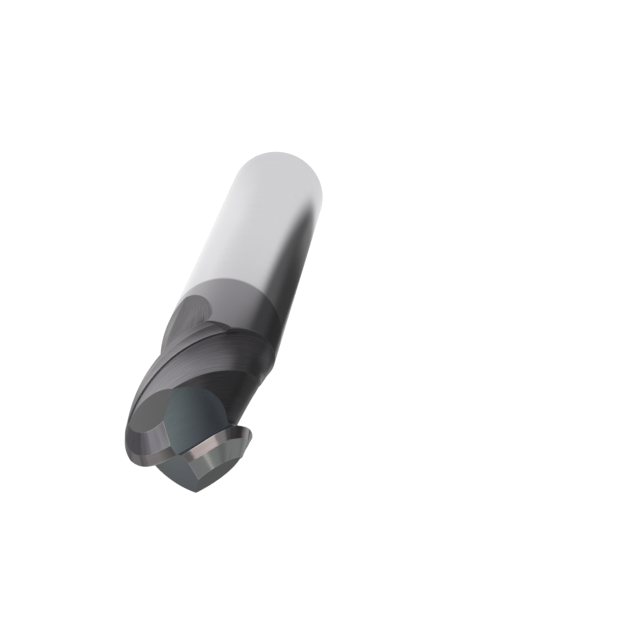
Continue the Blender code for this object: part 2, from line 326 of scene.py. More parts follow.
@dataclass
class WheelPass:
    """A pass of the grinding wheel, as the solid that it takes away."""

    edge: CuttingEdge
    clear: float = 0.6              # the cutter starts and ends this far outside the blank

    @property
    def blank(self) -> Blank:
        """The blank that the pass cuts."""
        return self.edge.blank

    def swept(self, name: str, stations: list[Station], across: list[float],
              surfaces: list[Ground], end: Ground, tail: int = 0) -> bpy.types.Object:
        """Carry a section through its stations by extruding it from each to the next.

        Args:
            name: Name of the cutter.
            stations: The sections in order, each with as many points.
            across: The map's V at each point of the section.
            surfaces: The finish of the strip that starts at each point.
            end: The finish of the cutter's two ends.
            tail: How many of the last steps have the finish of the end.

        Returns:
            The cutter, one closed solid.
        """
        deselect_all()
        bpy.ops.mesh.primitive_circle_add(vertices=len(across), radius=self.blank.radius * MM,
                                          fill_type="NGON", calc_uvs=False)
        cutter = bpy.context.object
        cutter.name = name
        for layer in ("place", "station"):
            cutter.data.attributes.new(layer, "INT", "POINT")
        for place, item in enumerate(cutter.data.attributes["place"].data):
            item.value = place
        bpy.ops.object.mode_set(mode="EDIT")
        for index, station in enumerate(stations):
            if index:
                bpy.ops.mesh.extrude_region_move()
            self._lay_ring(cutter, index, station.points)
        bpy.ops.mesh.select_all(action="SELECT")
        bpy.ops.mesh.quads_convert_to_tris()
        bpy.ops.mesh.normals_make_consistent(inside=False)
        bpy.ops.object.mode_set(mode="OBJECT")
        self._map(cutter.data, stations, across, surfaces, end, tail)
        return cutter

    @staticmethod
    def _lay_ring(cutter: bpy.types.Object, index: int, points: list[Vector]) -> None:
        """Lay the selected ring on a section's points.

        Args:
            cutter: The cutter, in edit mode.
            index: Number of the section's station.
            points: The section's points, in millimetres.
        """
        shape = edited(cutter)
        place = shape.verts.layers.int["place"]
        station = shape.verts.layers.int["station"]
        for vertex in shape.verts:
            if vertex.select:
                vertex.co = points[vertex[place]] * MM
                vertex[station] = index
        bmesh.update_edit_mesh(cutter.data)

    @staticmethod
    def _map(mesh: bpy.types.Mesh, stations: list[Station], across: list[float],
             surfaces: list[Ground], end: Ground, tail: int) -> None:
        """Give each face its finish and its map from the strip and stations it lies on.

        Args:
            mesh: Mesh of the swept cutter.
            stations: The sections in order.
            across: The map's V at each point of the section.
            surfaces: The finish of the strip that starts at each point.
            end: The finish of the cutter's two ends.
            tail: How many of the last steps have the finish of the end.
        """
        place = [item.value for item in mesh.attributes["place"].data]
        station = [item.value for item in mesh.attributes["station"].data]
        layer = mesh.uv_layers.new(name=GRIND_MAP)
        for face in mesh.polygons:
            places = {place[i] for i in face.vertices}
            first = max(places) if max(places) - min(places) > 1 else min(places)
            steps = {station[i] for i in face.vertices}
            is_end = len(steps) == 1 or max(steps) >= len(stations) - tail
            face.material_index = (end if is_end else surfaces[first]).value
            for loop in face.loop_indices:
                vertex = mesh.loops[loop].vertex_index
                layer.data[loop].uv = (stations[station[vertex]].along, across[place[vertex]])
        for name in ("place", "station"):
            mesh.attributes.remove(mesh.attributes[name])


@dataclass
class FlutePass(WheelPass):
    """The flute: a short step under the heel, a broad back pass and the deep flute face.

    Angles of its section are measured behind the edge of the tooth in front, and shares are
    of the cutting radius.
    """

    spacing_deg: float = 180.0      # from one tooth's edge to the next
    heel_deg: float = 27.0          # heel of the tooth in front, where the flute begins
    heel_share: float = 0.975       # the flute leaves the second land here
    step_deg: float = 7.0           # width of the short step under the heel
    step_share: float = 0.910       # foot of that step
    step_turn: tuple[float, float] = (0.4, 0.01)    # its corner: share of the width, height over the foot
    back_share: float = 0.862       # broad back of the tooth, at its lowest
    crest_deg: float = 95.0         # crest between the back pass and the flute face
    crest_share: float = 0.875
    root_deg: float = 166.0         # root of the flute, under the rake face
    root_share: float = 0.71
    sag_skew: float = 0.8           # below 1, back and flute face are lowest nearer to the heel
    fillet_share: float = 0.20      # height of the fillet from root to rake face
    fillet_end: float = 0.96        # share of the way from the root to the edge where the fillet ends
    rake_share: float = 0.95        # the rake face is straight from here out to the edge
    open_share: float = 1.15        # the section's two ends lie outside the blank
    open_deg: float = 0.4           # its first point lies this far before the heel
    round_share: float = 1.7        # the cutter closes round the blank at this radius
    overlap_deg: float = 3.0        # and laps past the two sides of its section by this much
    full_length: float = 11.55      # full depth to here, from the tip
    runout_length: float = 6.6      # then the wheel leaves the blank over this length
    runout_deg: float = 68.0        # the last cut lies this far behind the edge in front
    rake_closing: tuple[float, float, float] = (0.77, 1.25, 0.30)   # rake side: share, power, round share
    heel_closing: tuple[float, float] = (0.97, 1.5)                 # heel side: share, power
    closed: float = 0.97            # the two sides never meet
    lifted: float = 1.03            # at its end the wheel is this far out, as a share of its depth
    hollow_share: float = 0.22      # depth of the shallow hollow that the wheel leaves
    hollow_skew: float = 1.2        # above 1, the hollow is deepest nearer to the rake side
    hollow_power: float = 0.8       # below 1, its sides are steeper and its floor flatter
    hollow_over: float = 0.45       # the section has become the hollow after this share of the run-out
    back_early: float = 0.3         # the back pass starts to leave this far before the flute does
    back_over: float = 4.0          # takes this long over it
    back_left: float = 0.55         # and keeps this share of its depth
    back_reach_deg: float = 40.0    # the change dies out this far past the crest
    pitch: float = 0.24             # between stations, and half of it along the run-out
    back_steps: int = 16
    face_steps: int = 18
    fillet_steps: int = 8
    round_steps: int = 10

    def section(self) -> list[tuple[float, float, Ground]]:
        """Section from heel to edge.

        Returns:
            Angle, share of the radius and finish of each point.
        """
        foot = self.heel_deg + self.step_deg
        corner, over = self.step_turn
        points = [(self.heel_deg - self.open_deg, self.open_share, Ground.HEEL_STEP),
                  (self.heel_deg, self.heel_share, Ground.HEEL_STEP),
                  (self.heel_deg + corner * self.step_deg, self.step_share + over, Ground.HEEL_STEP)]
        sag = 0.5 * (self.step_share + self.crest_share) - self.back_share
        for t in even(0.0, 1.0, self.back_steps):
            points.append((foot + (self.crest_deg - foot) * t,
                           self.step_share + (self.crest_share - self.step_share) * t
                           - sag * math.sin(math.pi * t ** self.sag_skew), Ground.FLUTE_BACK))
        points[-1] = points[-1][:2] + (Ground.FLUTE_FACE,)
        for t in even(0.0, 1.0, self.face_steps)[1:]:
            points.append((self.crest_deg + (self.root_deg - self.crest_deg) * t,
                           self.crest_share + (self.root_share - self.crest_share) * t ** self.sag_skew,
                           Ground.FLUTE_FACE))
        last = (self.spacing_deg - self.root_deg) * self.fillet_end
        for turn in even(0.0, math.pi / 2.0, self.fillet_steps)[1:-1]:
            points.append((self.root_deg + last * math.sin(turn),
                           self.root_share + self.fillet_share * (1.0 - math.cos(turn)),
                           Ground.FLUTE_FACE))
        return points + [(self.spacing_deg, self.rake_share, Ground.FLUTE_FACE),
                         (self.spacing_deg, self.open_share, Ground.FLUTE_FACE)]

    def leaving(self, below: float) -> tuple[float, float, float]:
        """How the flute closes along its run-out.

        Args:
            below: Millimetres below the flute's full part.

        Returns:
            Share closed from the rake side, share closed from the heel side, share of depth left.
        """
        t = min(max(below / self.runout_length, 0.0), 1.0)
        share, power, curved = self.rake_closing
        rake = share * t ** power + curved * (1.0 - math.sqrt(1.0 - t * t))
        share, power = self.heel_closing
        return min(rake, self.closed), share * t ** power, 1.0 - self.lifted * t * t

    def sunk(self, angle: float, share: float, below: float) -> float:
        """Sink a point of the section as the wheel leaves.

        The wheel leaves the blank in a shallow hollow, and the back pass leaves it first.

        Args:
            angle: The point's angle in the full section.
            share: Its share of the radius there.
            below: Millimetres below the flute's full part.

        Returns:
            Its share of the radius at that depth.
        """
        if share > 1.0:
            return share
        across = min(max((angle - self.heel_deg) / (self.spacing_deg - self.heel_deg), 0.0), 1.0)
        hollow = self.hollow_share * math.sin(math.pi * across ** self.hollow_skew) ** self.hollow_power
        depth = eased(1.0 - share, hollow, below / (self.hollow_over * self.runout_length))
        early = eased(1.0, 0.0, (angle - self.crest_deg) / self.back_reach_deg)
        back = eased(1.0, self.back_left, (below + self.back_early) / self.back_over)
        return 1.0 - depth * self.leaving(below)[2] * (1.0 - early * (1.0 - back))

    def build(self) -> bpy.types.Object:
        """Sweep the flute's section down the helix and out of the blank.

        Returns:
            The cutter.
        """
        blank = self.blank
        section = self.section()
        section += [(angle, self.round_share, Ground.FLUTE_FACE)
                    for angle in even(self.spacing_deg + self.overlap_deg,
                                      self.heel_deg - self.overlap_deg, self.round_steps)]
        top, full = blank.overall + self.clear, blank.overall - self.full_length
        heights = even(top, full, round((top - full) / self.pitch))
        heights += even(full, full - self.runout_length,
                        round(self.runout_length / (0.5 * self.pitch)))[1:]
        slope = math.cos(math.radians(blank.helix_deg))
        stations = []
        for z in heights:
            rake, heel, _ = self.leaving(full - z)
            low = self.heel_deg + (self.runout_deg - self.heel_deg) * heel
            high = self.spacing_deg + (self.runout_deg - self.spacing_deg) * rake
            points = []
            for angle, share, _ in section:
                behind = low + (angle - self.heel_deg) / (self.spacing_deg - self.heel_deg) * (high - low)
                points.append(polar(blank.radius * self.sunk(angle, share, full - z),
                                    blank.side_angle(z) - behind, z))
            stations.append(Station(points, (top - z) / slope))
        across = [math.radians(angle) * blank.radius for angle, _, _ in section]
        return self.swept("flute_pass", stations, across, [s for _, _, s in section], Ground.FLUTE_FACE)


@dataclass
class ReliefPass(WheelPass):
    """First and second land behind the cutting edge, in one pass square to it."""

    first_width_ball: float = 0.60
    first_width_side: float = 0.50
    first_deg: float = 12.0
    second_deg_ball: float = 28.0
    second_deg_side: float = 21.0
    reach: float = 1.9              # the pass carries on this far behind the edge
    ramp_length: float = 1.5        # below the edge the wheel leaves the lands over this length
    ramp_lift: float = 0.25         # and this much outwards
    lead_deg: float = -18.0         # the pass starts here, before the tip
    step_deg: float = 4.5           # between stations on the ball
    span_steps: float = 2.0         # the edge's direction is taken over this many steps each way
    pitch: float = 0.24             # between stations on the side
    front_share: float = 0.5        # the cutter's front wall is this much of its back wall
    finer: int = 3                  # smooth steps that each step becomes

    def _section(self, place: float) -> tuple[list[Vector], Vector]:
        """Section of the two lands at a place on the edge.

        Args:
            place: The place, as CuttingEdge.point takes it.

        Returns:
            The section's points, the third of them on the edge, and the wheel's way out from there.
        """
        edge, blank = self.edge, self.blank
        here = edge.point(place)
        span = self.span_steps * self.step_deg if place < EQUATOR else self.pitch
        along = (edge.point(min(place + span, edge.last)) - edge.point(place - span)).normalized()
        outward = (here - Vector((0.0, 0.0, min(blank.ball_z, here.z)))).normalized()
        back = along.cross(outward).normalized()
        on_side = (place - edge.corner_deg) / (EQUATOR - edge.corner_deg)
        width = eased(self.first_width_ball, self.first_width_side, on_side)
        first = math.tan(math.radians(self.first_deg))
        second = math.tan(math.radians(eased(self.second_deg_ball, self.second_deg_side, on_side)))
        front = here - back * self.clear + outward * self.clear * first
        step = here + back * width - outward * width * first
        rest = self.reach - width
        end = step + back * rest - outward * rest * second
        wall = outward * blank.radius
        leave = along * self.ramp_length + outward * self.ramp_lift
        return [front + wall * self.front_share, front, here, step, end, end + wall], leave

    def build(self) -> bpy.types.Object:
        """Sweep the lands' section along the edge.

        Returns:
            The cutter.
        """
        edge = self.edge
        places = even(self.lead_deg, EQUATOR, round((EQUATOR - self.lead_deg) / self.step_deg))
        places += even(EQUATOR, edge.last, round((edge.last - EQUATOR) / self.pitch))[1:]
        stations, travelled = [], 0.0
        for place in places:
            points, leave = self._section(place)
            if stations:
                travelled += (points[2] - stations[-1].points[2]).length
            stations.append(Station(points, travelled))
        stations = refined(stations, self.finer)
        stations.append(Station([p + leave for p in stations[-1].points], travelled + self.ramp_length))
        across = [-self.clear, -self.clear, 0.0, self.first_width_ball, self.reach, self.reach]
        lands = [Ground.FIRST_LAND] * 3 + [Ground.SECOND_LAND] * 3
        return self.swept("relief_pass", stations, across, lands, Ground.LAND_END, 1)


@dataclass
class FacetPass(WheelPass):
    """Flat clearance facet on the back of the ball."""

    direction_deg: float = 306.0    # plan direction that the first tooth's facet faces
    tilt_deg: float = 62.8          # between the tool axis and the facet's normal
    offset: float = 2.49            # from the centre of the ball
    block_share: float = 2.6        # side of the block, in cutting radii

    def build(self) -> bpy.types.Object:
        """Stand a block on the facet's plane, its map square to the plane's fall.

        Returns:
            The cutter.
        """
        deselect_all()
        size = self.block_share * self.blank.radius
        tilt, turn = math.radians(self.tilt_deg), math.radians(self.direction_deg)
        outward = Vector((math.sin(tilt) * math.cos(turn), math.sin(tilt) * math.sin(turn), math.cos(tilt)))
        middle = Vector((0.0, 0.0, self.blank.ball_z)) + outward * (self.offset + 0.5 * size)
        bpy.ops.mesh.primitive_cube_add(size=size * MM, location=middle * MM,
                                        rotation=(0.0, tilt, turn), calc_uvs=False)
        cutter = bpy.context.object
        cutter.name = "facet_pass"
        bpy.ops.object.transform_apply(location=True, rotation=True, scale=True)
        down = Vector((math.cos(tilt) * math.cos(turn), math.cos(tilt) * math.sin(turn), -math.sin(tilt)))
        side = outward.cross(down)
        mesh = cutter.data
        layer = mesh.uv_layers.new(name=GRIND_MAP)
        for face in mesh.polygons:
            face.material_index = Ground.FACET.value
            for loop in face.loop_indices:
                point = mesh.vertices[mesh.loops[loop].vertex_index].co / MM
                layer.data[loop].uv = (point.dot(side), point.dot(down))
        return cutter


@dataclass
class GashPass(WheelPass):
    """End gash: a rake face down from the ball edge, a fillet and a falling floor."""

    past_axis: float = 0.10         # the gash cuts this far past the axis
    fall: float = 1.25              # fall of the floor along the edge, mm per mm
    curve: float = 0.03             # that it loses for each mm nearer to the axis
    side_fall: float = 0.32         # fall of the floor away from the edge, mm per mm
    rake_deg: float = 14.0          # the face under the ball edge runs back by this angle
    fillet: float = 0.16            # between that face and the floor
    reach: tuple[float, float] = (-0.25, 1.2)   # the pass runs between these, in cutting radii
    width: float = 1.5              # and cuts this wide, in cutting radii
    sections: int = 60
    fillet_steps: int = 10

    def build(self) -> bpy.types.Object:
        """Sweep the gash along the ball edge's plan line.

        Returns:
            The cutter.
        """
        edge, blank = self.edge, self.blank
        wide, above = self.width * blank.radius, blank.overall + blank.radius
        rake = math.tan(math.radians(self.rake_deg))
        stations, across = [], []
        start, stop = self.reach
        for out in even(start * blank.radius, stop * blank.radius, self.sections):
            floor = blank.overall - (self.fall - self.curve * (blank.radius - out)) * (out + self.past_axis)
            tip = blank.ball_z + math.sqrt(max(blank.radius ** 2 - out ** 2 - edge.bowed(out) ** 2, 0.0))
            profile = [(rake * (above - tip), above)] + self._corner(rake, floor, tip)
            profile.append((wide, floor - self.side_fall * wide))
            profile.append((wide, above))
            across = [ahead for ahead, _ in profile]
            stations.append(Station([edge.in_plan(out, edge.bowed(out) + ahead, z)
                                     for ahead, z in profile], out * math.hypot(1.0, self.fall)))
        return self.swept("gash_pass", stations, across, [Ground.GASH] * len(across), Ground.GASH)

    def _corner(self, rake: float, floor: float, tip: float) -> list[tuple[float, float]]:
        """Round off the corner between the undercut face and the falling floor.

        Args:
            rake: How far the face runs back under the edge for each millimetre down.
            floor: Height of the floor below the edge.
            tip: Height of the edge.

        Returns:
            The arc's points, each its distance ahead of the edge and its height.
        """
        lean, slope = math.atan(rake), math.atan(self.side_fall)
        ahead = (self.fillet * (1.0 / math.cos(lean) - 1.0 / math.cos(slope) * rake) + (floor - tip) * rake)
        ahead /= 1.0 + rake * self.side_fall
        height = floor - self.side_fall * ahead + self.fillet / math.cos(slope)
        return [(ahead - self.fillet * math.cos(turn), height - self.fillet * math.sin(turn))
                for turn in even(-lean, math.pi / 2.0 - slope, self.fillet_steps)]


@dataclass(frozen=True)
class GroundFinish:
    """Carbide as the wheel leaves it, bare or under its nitride coating.

    Cemented carbide is hard metal grains in cobalt, and the coating is a metal nitride, so both
    shine as metals do.  A fine wheel leaves lines 0.01 to 0.02 mm apart.  A pixel of the render
    covers 0.05 mm of the head, so they are drawn 0.08 to 0.10 mm apart, as coarse as they need
    to be to show.
    """

    name: str
    colour: str                     # sRGB, on the ridges of the lines
    dark: str                       # sRGB, in their grooves
    roughness: float
    lines: Lines = Lines.ALONG
    spacing: float = 0.08           # mm between lines
    length: float = 3.0             # mm over which a line keeps its tone
    depth: float = 0.10             # share of line_height that shows as relief
    grazing: float = 0.75           # how much is mirrored at a grazing look
    # The change marks where the coat ends; on the flute back, first land, facet and gash it is painted shade
    drift: tuple[float, float, float] = (0.0, 0.0, 0.0)     # way in which the coat's tone changes
    drift_start: float = 0.0        # mm along that way where the change starts
    drift_end: float = 1.0          # and where it is complete
    far_colour: str = ""            # sRGB past the change
    edge_wear_and_highlight_colour: str = ""                  # sRGB of the pale edges: painted highlight, and the coat rubbed thin
    metallic: float = 1.0
    contrast: tuple[float, float] = (0.35, 0.65)        # noise from groove to ridge
    line_play: float = 0.06         # grooves are rougher, and ridges smoother, by this much
    line_height: float = 0.01       # mm
    line_octaves: float = 3.0       # each line holds this many orders of finer ones
    octave_share: float = 0.6       # each order's strength over the one before
    edge_width: float = 0.06        # mm that the pale edge, painted highlight and wear, reaches in from an edge
    edge_turn: tuple[float, float] = (0.9995, 0.99)     # cosines of the turn that makes an edge
    edge_samples: int = 8
    edge_wear_and_highlight_share: float = 0.45

    def material(self) -> bpy.types.Material:
        """Build the finish's shader.

        Returns:
            The material.
        """
        made = bpy.data.materials.new(self.name)
        made.use_nodes = True
        shader = made.node_tree.nodes["Principled BSDF"]
        shader.inputs["Metallic"].default_value = self.metallic
        shader.inputs["Specular Tint"].default_value = (self.grazing, self.grazing, self.grazing, 1.0)
        streaks = self._wheel_lines(made)
        low, high = self.contrast
        ridge = add_node(made, "ShaderNodeMapRange", {"From Min": low, "From Max": high}, Value=streaks)
        tone = add_node(made, "ShaderNodeMix", {"data_type": "RGBA", 6: linear(self.dark),
                                                7: linear(self.colour)}, i0=ridge.outputs["Result"])
        coat = self._edge_wear_and_highlight(made, self._drifted(made, tone.outputs[2]))
        rough = add_node(made, "ShaderNodeMapRange", {"To Min": self.roughness + self.line_play,
                                                      "To Max": self.roughness - self.line_play},
                         Value=streaks)
        bump = add_node(made, "ShaderNodeBump", {"Strength": self.depth,
                                                 "Distance": self.line_height * MM}, Height=streaks)
        for output, socket in ((coat, "Base Color"), (rough.outputs["Result"], "Roughness"),
                               (bump.outputs["Normal"], "Normal")):
            made.node_tree.links.new(output, shader.inputs[socket])
        return made

    def _wheel_lines(self, made: bpy.types.Material) -> bpy.types.NodeSocket:
        """Lines of the grinding wheel.

        Args:
            made: The material.

        Returns:
            The socket that gives their height.
        """
        spot = add_node(made, "ShaderNodeUVMap", {"uv_map": GRIND_MAP})
        scale = (1.0 / self.length, 1.0 / self.spacing, 1.0)
        if self.lines is Lines.ACROSS:
            scale = (scale[1], scale[0], 1.0)
        stretched = add_node(made, "ShaderNodeMapping", {"Scale": scale}, Vector=spot.outputs["UV"])
        streaks = add_node(made, "ShaderNodeTexNoise", {"Scale": 1.0, "Detail": self.line_octaves,
                                                         "Roughness": self.octave_share},
                           Vector=stretched.outputs["Vector"])
        return streaks.outputs["Fac"]

    def _drifted(self, made: bpy.types.Material, coat: bpy.types.NodeSocket) -> bpy.types.NodeSocket:
        """Change the coat's colour along a way over the tool: where the coat ends, where its tint turns, and
        elsewhere as painted shade.

        Args:
            made: The material.
            coat: The socket that gives the coat's colour.

        Returns:
            The socket that gives its colour with the change.
        """
        if not self.far_colour:
            return coat
        # On several surfaces this colour change is painted shade
        place = add_node(made, "ShaderNodeTexCoord")
        along = add_node(made, "ShaderNodeVectorMath", {"operation": "DOT_PRODUCT", 1: self.drift},
                         i0=place.outputs["Object"])
        share = add_node(made, "ShaderNodeMapRange", {"From Min": self.drift_start * MM,
                                                      "From Max": self.drift_end * MM},
                         Value=along.outputs["Value"])
        return add_node(made, "ShaderNodeMix", {"data_type": "RGBA", 7: linear(self.far_colour)},
                        i0=share.outputs["Result"], i6=coat).outputs[2]

    def _edge_wear_and_highlight(self, made: bpy.types.Material, coat: bpy.types.NodeSocket) -> bpy.types.NodeSocket:
        """Pale the surface's edges: a painted highlight along them, and the coat rubbed thin.

        Args:
            made: The material.
            coat: The socket that gives the coat's colour.

        Returns:
            The socket that gives its colour with the paler edges.
        """
        if not self.edge_wear_and_highlight_colour:
            return coat
        # Painted highlight with wear: the colour is paled where the surface turns at an edge
        rounded = add_node(made, "ShaderNodeBevel", {"samples": self.edge_samples,
                                                     "Radius": self.edge_width * MM})
        true = add_node(made, "ShaderNodeNewGeometry")
        same = add_node(made, "ShaderNodeVectorMath", {"operation": "DOT_PRODUCT"},
                        i0=rounded.outputs["Normal"], i1=true.outputs["Normal"])
        flat, sharp = self.edge_turn
        on_edge = add_node(made, "ShaderNodeMapRange", {"From Min": flat, "From Max": sharp, "To Min": 0.0,
                                                        "To Max": self.edge_wear_and_highlight_share},
                           Value=same.outputs["Value"])
        return add_node(made, "ShaderNodeMix", {"data_type": "RGBA", 7: linear(self.edge_wear_and_highlight_colour)},
                        i0=on_edge.outputs["Result"], i6=coat).outputs[2]


# Ways over the tool, in its own axes
DOWN = (0.0, 0.0, -1.0)
NEAR = (-0.33, -0.944, 0.0)         # level, from the axis to the side that the camera stands on
ASIDE = (-0.944, 0.33, 0.0)         # level, square to it
ASIDE_AND_UP = (-0.944, 0.33, 1.0)

FINISHES: dict[Ground, GroundFinish] = {
    # Bare carbide, fine ground between two wheels: a pale bright metal with soft reflections that
    # run along the shank
    Ground.BARE_SHANK: GroundFinish("bare_carbide_ground_round", "dbdade", "d5d4d9", 0.15),
    # The same grinding under the coat: a dark violet grey satin mirror.  The coat fades out into
    # bare metal over a third of a millimetre, where the tool was held while it was coated
    Ground.COATED_BODY: GroundFinish("nitride_coat_on_ground_round", "8a878d", "838087", 0.18,
                                     drift=DOWN, drift_start=-30.75, drift_end=-30.4,
                                     far_colour="d8d7dc"),
    # A narrow pass with the wheel's corner: duller and darker than its neighbours
    Ground.HEEL_STEP: GroundFinish("nitride_coat_on_heel_step", "7c797f", "6a676d", 0.24),
    # The broad pass shows the clearest wheel lines; where it runs out its colour is darkened, painted shade
    Ground.FLUTE_BACK: GroundFinish("nitride_coat_on_flute_back", "8c888f", "6f6b73", 0.22,
                                    spacing=0.10, depth=0.2, drift=DOWN, drift_start=-36.2,
                                    drift_end=-35.2, far_colour="5c5a5d"),
    # The deep pass is polished finer for the chips and mirrors little at a grazing look; its edges are paled
    # with painted highlight and wear
    Ground.FLUTE_FACE: GroundFinish("nitride_coat_on_flute_face", "888588", "737175", 0.22,
                                    spacing=0.10, grazing=0.5, edge_wear_and_highlight_colour="b8b4ae"),
    # The land behind the edge has the finest finish of all: nearly a mirror, pale at the edge with painted
    # highlight and wear, and darker further from the tip, painted shade
    Ground.FIRST_LAND: GroundFinish("nitride_coat_on_first_land", "8f8a8b", "868182", 0.09,
                                    drift=DOWN, drift_start=-47.5, drift_end=-45.5,
                                    far_colour="767376", edge_wear_and_highlight_colour="c4bfb8"),
    # The cup wheel runs across this land, so its soft streaks point away from the edge; its edges are paled
    # with painted highlight and wear
    Ground.SECOND_LAND: GroundFinish("nitride_coat_on_second_land", "817e84", "716d74", 0.14,
                                     lines=Lines.ACROSS, drift=ASIDE_AND_UP, drift_start=48.6,
                                     drift_end=49.6, far_colour="828684", edge_wear_and_highlight_colour="c4bfb8"),
    # Where the wheel leaves the lands: as dull as the step under the heel
    Ground.LAND_END: GroundFinish("nitride_coat_on_land_end", "7c797f", "6a676d", 0.24),
    # A flat pass: one even grey that turns darker and a little bluer towards one side, painted shade
    Ground.FACET: GroundFinish("nitride_coat_on_facet", "868686", "808080", 0.16, drift=ASIDE,
                               drift_start=-0.5, drift_end=1.0, far_colour="6b6e6f"),
    # The gash takes a thinner coat, whose colour is a blue grey; it is darkened towards its far end, painted
    # shade
    Ground.GASH: GroundFinish("nitride_coat_on_gash", "838d90", "788488", 0.13, drift=ASIDE,
                              drift_start=-0.6, drift_end=0.9, far_colour="666d76"),
}


@dataclass
class EndMill:
    """The whole tool: the blank and the passes that grind it."""

    blank: Blank = field(default_factory=Blank)
    teeth: int = 2
    sharp_deg: float = 25.0         # flatter corners are shaded smooth

    def build(self) -> bpy.types.Object:
        """Grind the blank with each pass, once for each tooth.

        Returns:
            The finished mill.
        """
        mill = self.blank.build()
        mill.name = mill.data.name = "ground_end_mill"
        self._dress(mill)
        log.info("blank: %d faces", len(mill.data.polygons))
        edge = CuttingEdge(self.blank)
        for wheel in (FlutePass(edge), ReliefPass(edge), FacetPass(edge), GashPass(edge)):
            cutter = wheel.build()
            self._dress(cutter)
            for _ in range(self.teeth):
                self._cut(mill, cutter)
                self._turn(cutter, 360.0 / self.teeth)
            bpy.data.objects.remove(cutter, do_unlink=True)
            log.info("%s: mill now has %d faces", type(wheel).__name__, len(mill.data.polygons))
        self._smooth(mill)
        return mill

    @staticmethod
    def _dress(piece: bpy.types.Object) -> None:
        """Fill the material slots in the order of the surfaces.

        Args:
            piece: The blank or a cutter.
        """
        for surface in Ground:
            name = FINISHES[surface].name
            piece.data.materials.append(bpy.data.materials.get(name) or FINISHES[surface].material())

    @staticmethod
    def _turn(cutter: bpy.types.Object, degrees: float) -> None:
        """Turn the cutter's shape about the tool axis, for the next tooth.

        Args:
            cutter: The cutter.
            degrees: How far it turns.
        """
        deselect_all()
        cutter.select_set(True)
        bpy.context.view_layer.objects.active = cutter
        bpy.ops.object.mode_set(mode="EDIT")
        bpy.ops.mesh.select_all(action="SELECT")
        bpy.ops.transform.rotate(value=math.radians(degrees), orient_axis="Z",
                                 center_override=(0.0, 0.0, 0.0))
        bpy.ops.object.mode_set(mode="OBJECT")

    @staticmethod
    def _cut(mill: bpy.types.Object, cutter: bpy.types.Object) -> None:
        """Take the cutter out of the mill, its finishes kept on the faces that it leaves.

        Args:
            mill: The mill so far.
            cutter: The cutter.
        """
        deselect_all()
        mill.select_set(True)
        bpy.context.view_layer.objects.active = mill
        cut = mill.modifiers.new(cutter.name, "BOOLEAN")
        cut.operation, cut.solver, cut.object = "DIFFERENCE", "EXACT", cutter
        bpy.ops.object.modifier_apply(modifier=cut.name)

    def _smooth(self, mill: bpy.types.Object) -> None:
        """Shade smooth, and keep sharp every line where two surfaces meet.

        Args:
            mill: The ground mill.
        """
        deselect_all()
        mill.select_set(True)
        bpy.context.view_layer.objects.active = mill
        bpy.ops.object.shade_smooth_by_angle(angle=math.radians(self.sharp_deg))
        bpy.ops.object.mode_set(mode="EDIT")
        shape = edited(mill)
        for line in shape.edges:
            faces = line.link_faces
            if len(faces) == 2 and faces[0].material_index != faces[1].material_index:
                line.smooth = False
        bmesh.update_edit_mesh(mill.data)
        bpy.ops.object.mode_set(mode="OBJECT")
        even_out = mill.modifiers.new("even_out", "WEIGHTED_NORMAL")
        even_out.keep_sharp = True
        bpy.ops.object.modifier_apply(modifier=even_out.name)


@dataclass(frozen=True)
class Ramp:
    """Soft change of a value along a stretch."""

    begins: float
    length: float
    before: float = 0.0
    after: float = 1.0

    def at(self, place: float) -> float:
        """Value at a place."""
        return eased(self.before, self.after, (place - self.begins) / self.length)


